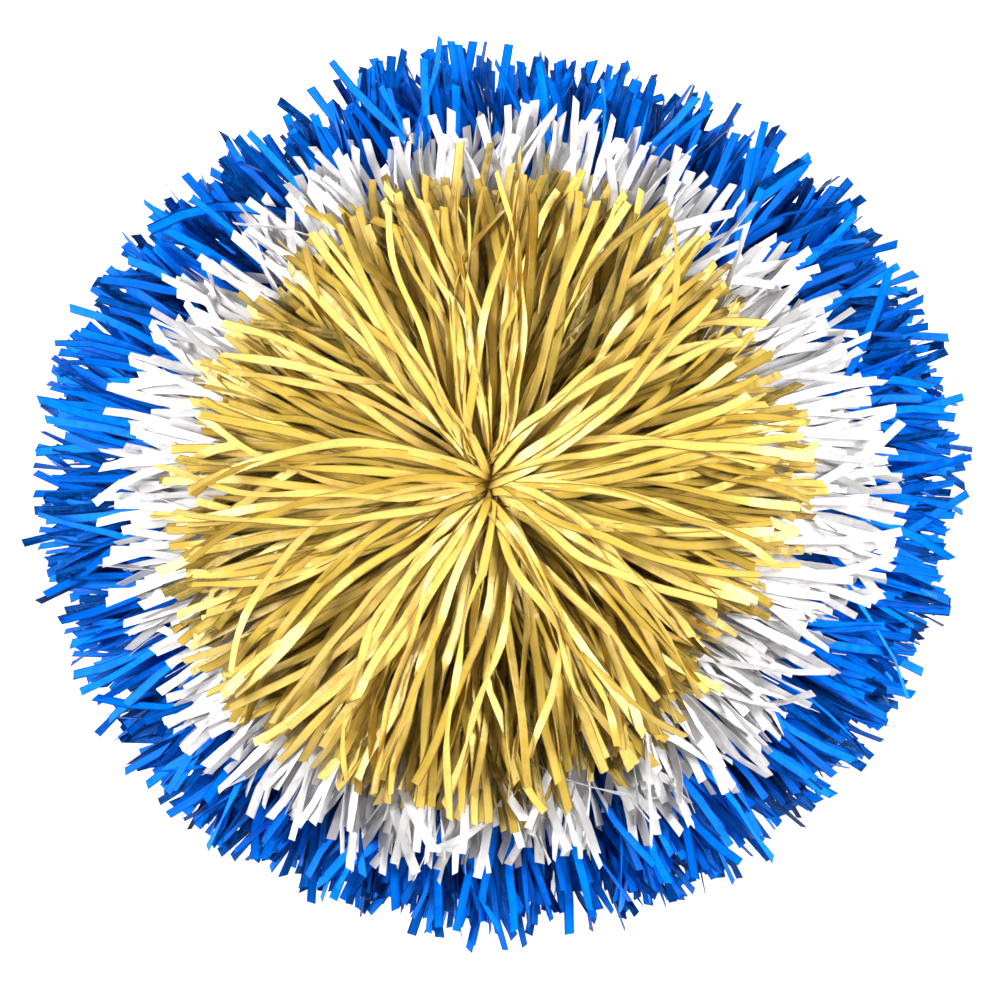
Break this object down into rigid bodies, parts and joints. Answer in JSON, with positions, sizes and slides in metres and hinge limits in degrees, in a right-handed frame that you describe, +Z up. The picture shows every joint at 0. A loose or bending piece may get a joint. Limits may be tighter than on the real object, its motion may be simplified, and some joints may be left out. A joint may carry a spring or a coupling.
{
  "type": "cheer pom pom",
  "caption": "Three-colour target cheer pom pom: gold, white and blue plastic film strands tied to both ends of a baton handle that the hand grips between the two heads.",
  "frame": {"origin": "middle of the floor under the pom, which stands on its lower head; on the baton's axis", "axes": "+Z up along the baton, out of the middle of the gold face; +X and +Y across the face, and the spread is a little wider along X"},
  "size_m": [0.33, 0.3202, 0.1905],
  "materials": {
    "gold_film": "satin",
    "white_film": "satin",
    "blue_film": "satin",
    "baton_plastic": "satin",
    "grip_rubber": "matte",
    "tie_nylon": "satin",
    "tape_vinyl": "gloss"
  },
  "bodies": {
    "baton": {"baton_tube": "baton_plastic", "grip_sleeve": "grip_rubber", "end_plug_upper": "baton_plastic", "tie_strap_upper": "tie_nylon", "tie_head_upper": "tie_nylon", "neck_wrap_upper": "tape_vinyl", "gold_gather_upper": "gold_film", "white_gather_upper": "white_film", "blue_gather_upper": "blue_film", "end_plug_lower": "baton_plastic", "tie_strap_lower": "tie_nylon", "tie_head_lower": "tie_nylon", "neck_wrap_lower": "tape_vinyl", "gold_gather_lower": "gold_film", "white_gather_lower": "white_film", "blue_gather_lower": "blue_film"},
    "blue_tuft_upper_1": {"blue_strands_upper_1": "blue_film"},
    "white_tuft_upper_1": {"white_strands_upper_1": "white_film"},
    "gold_tuft_upper_1": {"gold_strands_upper_1": "gold_film"},
    "blue_tuft_upper_2": {"blue_strands_upper_2": "blue_film"},
    "white_tuft_upper_2": {"white_strands_upper_2": "white_film"},
    "gold_tuft_upper_2": {"gold_strands_upper_2": "gold_film"},
    "blue_tuft_upper_3": {"blue_strands_upper_3": "blue_film"},
    "white_tuft_upper_3": {"white_strands_upper_3": "white_film"},
    "gold_tuft_upper_3": {"gold_strands_upper_3": "gold_film"},
    "blue_tuft_upper_4": {"blue_strands_upper_4": "blue_film"},
    "white_tuft_upper_4": {"white_strands_upper_4": "white_film"},
    "gold_tuft_upper_4": {"gold_strands_upper_4": "gold_film"},
    "blue_tuft_upper_5": {"blue_strands_upper_5": "blue_film"},
    "white_tuft_upper_5": {"white_strands_upper_5": "white_film"},
    "gold_tuft_upper_5": {"gold_strands_upper_5": "gold_film"},
    "blue_tuft_upper_6": {"blue_strands_upper_6": "blue_film"},
    "white_tuft_upper_6": {"white_strands_upper_6": "white_film"},
    "gold_tuft_upper_6": {"gold_strands_upper_6": "gold_film"},
    "blue_tuft_lower_1": {"blue_strands_lower_1": "blue_film"},
    "white_tuft_lower_1": {"white_strands_lower_1": "white_film"},
    "gold_tuft_lower_1": {"gold_strands_lower_1": "gold_film"},
    "blue_tuft_lower_2": {"blue_strands_lower_2": "blue_film"},
    "white_tuft_lower_2": {"white_strands_lower_2": "white_film"},
    "gold_tuft_lower_2": {"gold_strands_lower_2": "gold_film"},
    "blue_tuft_lower_3": {"blue_strands_lower_3": "blue_film"},
    "white_tuft_lower_3": {"white_strands_lower_3": "white_film"},
    "gold_tuft_lower_3": {"gold_strands_lower_3": "gold_film"},
    "blue_tuft_lower_4": {"blue_strands_lower_4": "blue_film"},
    "white_tuft_lower_4": {"white_strands_lower_4": "white_film"},
    "gold_tuft_lower_4": {"gold_strands_lower_4": "gold_film"},
    "blue_tuft_lower_5": {"blue_strands_lower_5": "blue_film"},
    "white_tuft_lower_5": {"white_strands_lower_5": "white_film"},
    "gold_tuft_lower_5": {"gold_strands_lower_5": "gold_film"},
    "blue_tuft_lower_6": {"blue_strands_lower_6": "blue_film"},
    "white_tuft_lower_6": {"white_strands_lower_6": "white_film"},
    "gold_tuft_lower_6": {"gold_strands_lower_6": "gold_film"}
  },
  "joints": [
    {"name": "blue_flex_upper_1", "type": "hinge", "parent": "baton", "child": "blue_tuft_upper_1", "pos_m": [0.014, 0, 0.152], "axis": [0, -1, 0], "range_deg": [-4, 10], "stiffness_Nm_per_rad": 0.3},
    {"name": "white_flex_upper_1", "type": "hinge", "parent": "baton", "child": "white_tuft_upper_1", "pos_m": [0.014, 0, 0.152], "axis": [0, -1, 0], "range_deg": [-4, 10], "stiffness_Nm_per_rad": 0.2},
    {"name": "gold_flex_upper_1", "type": "hinge", "parent": "baton", "child": "gold_tuft_upper_1", "pos_m": [0.014, 0, 0.152], "axis": [0, -1, 0], "range_deg": [-4, 10], "stiffness_Nm_per_rad": 0.12},
    {"name": "blue_flex_upper_2", "type": "hinge", "parent": "baton", "child": "blue_tuft_upper_2", "pos_m": [0.007, 0.01212, 0.152], "axis": [0.866, -0.5, 0], "range_deg": [-4, 10], "stiffness_Nm_per_rad": 0.3},
    {"name": "white_flex_upper_2", "type": "hinge", "parent": "baton", "child": "white_tuft_upper_2", "pos_m": [0.007, 0.01212, 0.152], "axis": [0.866, -0.5, 0], "range_deg": [-4, 10], "stiffness_Nm_per_rad": 0.2},
    {"name": "gold_flex_upper_2", "type": "hinge", "parent": "baton", "child": "gold_tuft_upper_2", "pos_m": [0.007, 0.01212, 0.152], "axis": [0.866, -0.5, 0], "range_deg": [-4, 10], "stiffness_Nm_per_rad": 0.12},
    {"name": "blue_flex_upper_3", "type": "hinge", "parent": "baton", "child": "blue_tuft_upper_3", "pos_m": [-0.007, 0.01212, 0.152], "axis": [0.866, 0.5, 0], "range_deg": [-4, 10], "stiffness_Nm_per_rad": 0.3},
    {"name": "white_flex_upper_3", "type": "hinge", "parent": "baton", "child": "white_tuft_upper_3", "pos_m": [-0.007, 0.01212, 0.152], "axis": [0.866, 0.5, 0], "range_deg": [-4, 10], "stiffness_Nm_per_rad": 0.2},
    {"name": "gold_flex_upper_3", "type": "hinge", "parent": "baton", "child": "gold_tuft_upper_3", "pos_m": [-0.007, 0.01212, 0.152], "axis": [0.866, 0.5, 0], "range_deg": [-4, 10], "stiffness_Nm_per_rad": 0.12},
    {"name": "blue_flex_upper_4", "type": "hinge", "parent": "baton", "child": "blue_tuft_upper_4", "pos_m": [-0.014, 0, 0.152], "axis": [0, 1, 0], "range_deg": [-4, 10], "stiffness_Nm_per_rad": 0.3},
    {"name": "white_flex_upper_4", "type": "hinge", "parent": "baton", "child": "white_tuft_upper_4", "pos_m": [-0.014, 0, 0.152], "axis": [0, 1, 0], "range_deg": [-4, 10], "stiffness_Nm_per_rad": 0.2},
    {"name": "gold_flex_upper_4", "type": "hinge", "parent": "baton", "child": "gold_tuft_upper_4", "pos_m": [-0.014, 0, 0.152], "axis": [0, 1, 0], "range_deg": [-4, 10], "stiffness_Nm_per_rad": 0.12},
    {"name": "blue_flex_upper_5", "type": "hinge", "parent": "baton", "child": "blue_tuft_upper_5", "pos_m": [-0.007, -0.01212, 0.152], "axis": [-0.866, 0.5, 0], "range_deg": [-4, 10], "stiffness_Nm_per_rad": 0.3},
    {"name": "white_flex_upper_5", "type": "hinge", "parent": "baton", "child": "white_tuft_upper_5", "pos_m": [-0.007, -0.01212, 0.152], "axis": [-0.866, 0.5, 0], "range_deg": [-4, 10], "stiffness_Nm_per_rad": 0.2},
    {"name": "gold_flex_upper_5", "type": "hinge", "parent": "baton", "child": "gold_tuft_upper_5", "pos_m": [-0.007, -0.01212, 0.152], "axis": [-0.866, 0.5, 0], "range_deg": [-4, 10], "stiffness_Nm_per_rad": 0.12},
    {"name": "blue_flex_upper_6", "type": "hinge", "parent": "baton", "child": "blue_tuft_upper_6", "pos_m": [0.007, -0.01212, 0.152], "axis": [-0.866, -0.5, 0], "range_deg": [-4, 10], "stiffness_Nm_per_rad": 0.3},
    {"name": "white_flex_upper_6", "type": "hinge", "parent": "baton", "child": "white_tuft_upper_6", "pos_m": [0.007, -0.01212, 0.152], "axis": [-0.866, -0.5, 0], "range_deg": [-4, 10], "stiffness_Nm_per_rad": 0.2},
    {"name": "gold_flex_upper_6", "type": "hinge", "parent": "baton", "child": "gold_tuft_upper_6", "pos_m": [0.007, -0.01212, 0.152], "axis": [-0.866, -0.5, 0], "range_deg": [-4, 10], "stiffness_Nm_per_rad": 0.12},
    {"name": "blue_flex_lower_1", "type": "hinge", "parent": "baton", "child": "blue_tuft_lower_1", "pos_m": [0.014, 0, 0.037], "axis": [0, -1, 0], "range_deg": [0, 5], "stiffness_Nm_per_rad": 0.3},
    {"name": "white_flex_lower_1", "type": "hinge", "parent": "baton", "child": "white_tuft_lower_1", "pos_m": [0.014, 0, 0.037], "axis": [0, -1, 0], "range_deg": [0, 5], "stiffness_Nm_per_rad": 0.2},
    {"name": "gold_flex_lower_1", "type": "hinge", "parent": "baton", "child": "gold_tuft_lower_1", "pos_m": [0.014, 0, 0.037], "axis": [0, -1, 0], "range_deg": [0, 5], "stiffness_Nm_per_rad": 0.12},
    {"name": "blue_flex_lower_2", "type": "hinge", "parent": "baton", "child": "blue_tuft_lower_2", "pos_m": [0.007, 0.01212, 0.037], "axis": [0.866, -0.5, 0], "range_deg": [0, 5], "stiffness_Nm_per_rad": 0.3},
    {"name": "white_flex_lower_2", "type": "hinge", "parent": "baton", "child": "white_tuft_lower_2", "pos_m": [0.007, 0.01212, 0.037], "axis": [0.866, -0.5, 0], "range_deg": [0, 5], "stiffness_Nm_per_rad": 0.2},
    {"name": "gold_flex_lower_2", "type": "hinge", "parent": "baton", "child": "gold_tuft_lower_2", "pos_m": [0.007, 0.01212, 0.037], "axis": [0.866, -0.5, 0], "range_deg": [0, 5], "stiffness_Nm_per_rad": 0.12},
    {"name": "blue_flex_lower_3", "type": "hinge", "parent": "baton", "child": "blue_tuft_lower_3", "pos_m": [-0.007, 0.01212, 0.037], "axis": [0.866, 0.5, 0], "range_deg": [0, 5], "stiffness_Nm_per_rad": 0.3},
    {"name": "white_flex_lower_3", "type": "hinge", "parent": "baton", "child": "white_tuft_lower_3", "pos_m": [-0.007, 0.01212, 0.037], "axis": [0.866, 0.5, 0], "range_deg": [0, 5], "stiffness_Nm_per_rad": 0.2},
    {"name": "gold_flex_lower_3", "type": "hinge", "parent": "baton", "child": "gold_tuft_lower_3", "pos_m": [-0.007, 0.01212, 0.037], "axis": [0.866, 0.5, 0], "range_deg": [0, 5], "stiffness_Nm_per_rad": 0.12},
    {"name": "blue_flex_lower_4", "type": "hinge", "parent": "baton", "child": "blue_tuft_lower_4", "pos_m": [-0.014, 0, 0.037], "axis": [0, 1, 0], "range_deg": [0, 5], "stiffness_Nm_per_rad": 0.3},
    {"name": "white_flex_lower_4", "type": "hinge", "parent": "baton", "child": "white_tuft_lower_4", "pos_m": [-0.014, 0, 0.037], "axis": [0, 1, 0], "range_deg": [0, 5], "stiffness_Nm_per_rad": 0.2},
    {"name": "gold_flex_lower_4", "type": "hinge", "parent": "baton", "child": "gold_tuft_lower_4", "pos_m": [-0.014, 0, 0.037], "axis": [0, 1, 0], "range_deg": [0, 5], "stiffness_Nm_per_rad": 0.12},
    {"name": "blue_flex_lower_5", "type": "hinge", "parent": "baton", "child": "blue_tuft_lower_5", "pos_m": [-0.007, -0.01212, 0.037], "axis": [-0.866, 0.5, 0], "range_deg": [0, 5], "stiffness_Nm_per_rad": 0.3},
    {"name": "white_flex_lower_5", "type": "hinge", "parent": "baton", "child": "white_tuft_lower_5", "pos_m": [-0.007, -0.01212, 0.037], "axis": [-0.866, 0.5, 0], "range_deg": [0, 5], "stiffness_Nm_per_rad": 0.2},
    {"name": "gold_flex_lower_5", "type": "hinge", "parent": "baton", "child": "gold_tuft_lower_5", "pos_m": [-0.007, -0.01212, 0.037], "axis": [-0.866, 0.5, 0], "range_deg": [0, 5], "stiffness_Nm_per_rad": 0.12},
    {"name": "blue_flex_lower_6", "type": "hinge", "parent": "baton", "child": "blue_tuft_lower_6", "pos_m": [0.007, -0.01212, 0.037], "axis": [-0.866, -0.5, 0], "range_deg": [0, 5], "stiffness_Nm_per_rad": 0.3},
    {"name": "white_flex_lower_6", "type": "hinge", "parent": "baton", "child": "white_tuft_lower_6", "pos_m": [0.007, -0.01212, 0.037], "axis": [-0.866, -0.5, 0], "range_deg": [0, 5], "stiffness_Nm_per_rad": 0.2},
    {"name": "gold_flex_lower_6", "type": "hinge", "parent": "baton", "child": "gold_tuft_lower_6", "pos_m": [0.007, -0.01212, 0.037], "axis": [-0.866, -0.5, 0], "range_deg": [0, 5], "stiffness_Nm_per_rad": 0.12}
  ],
  "couplings": [
    {"joint": "white_flex_upper_1", "follows": "blue_flex_upper_1", "ratio": 1},
    {"joint": "gold_flex_upper_1", "follows": "blue_flex_upper_1", "ratio": 1},
    {"joint": "white_flex_upper_2", "follows": "blue_flex_upper_2", "ratio": 1},
    {"joint": "gold_flex_upper_2", "follows": "blue_flex_upper_2", "ratio": 1},
    {"joint": "white_flex_upper_3", "follows": "blue_flex_upper_3", "ratio": 1},
    {"joint": "gold_flex_upper_3", "follows": "blue_flex_upper_3", "ratio": 1},
    {"joint": "white_flex_upper_4", "follows": "blue_flex_upper_4", "ratio": 1},
    {"joint": "gold_flex_upper_4", "follows": "blue_flex_upper_4", "ratio": 1},
    {"joint": "white_flex_upper_5", "follows": "blue_flex_upper_5", "ratio": 1},
    {"joint": "gold_flex_upper_5", "follows": "blue_flex_upper_5", "ratio": 1},
    {"joint": "white_flex_upper_6", "follows": "blue_flex_upper_6", "ratio": 1},
    {"joint": "gold_flex_upper_6", "follows": "blue_flex_upper_6", "ratio": 1},
    {"joint": "white_flex_lower_1", "follows": "blue_flex_lower_1", "ratio": 1},
    {"joint": "gold_flex_lower_1", "follows": "blue_flex_lower_1", "ratio": 1},
    {"joint": "white_flex_lower_2", "follows": "blue_flex_lower_2", "ratio": 1},
    {"joint": "gold_flex_lower_2", "follows": "blue_flex_lower_2", "ratio": 1},
    {"joint": "white_flex_lower_3", "follows": "blue_flex_lower_3", "ratio": 1},
    {"joint": "gold_flex_lower_3", "follows": "blue_flex_lower_3", "ratio": 1},
    {"joint": "white_flex_lower_4", "follows": "blue_flex_lower_4", "ratio": 1},
    {"joint": "gold_flex_lower_4", "follows": "blue_flex_lower_4", "ratio": 1},
    {"joint": "white_flex_lower_5", "follows": "blue_flex_lower_5", "ratio": 1},
    {"joint": "gold_flex_lower_5", "follows": "blue_flex_lower_5", "ratio": 1},
    {"joint": "white_flex_lower_6", "follows": "blue_flex_lower_6", "ratio": 1},
    {"joint": "gold_flex_lower_6", "follows": "blue_flex_lower_6", "ratio": 1}
  ]
}
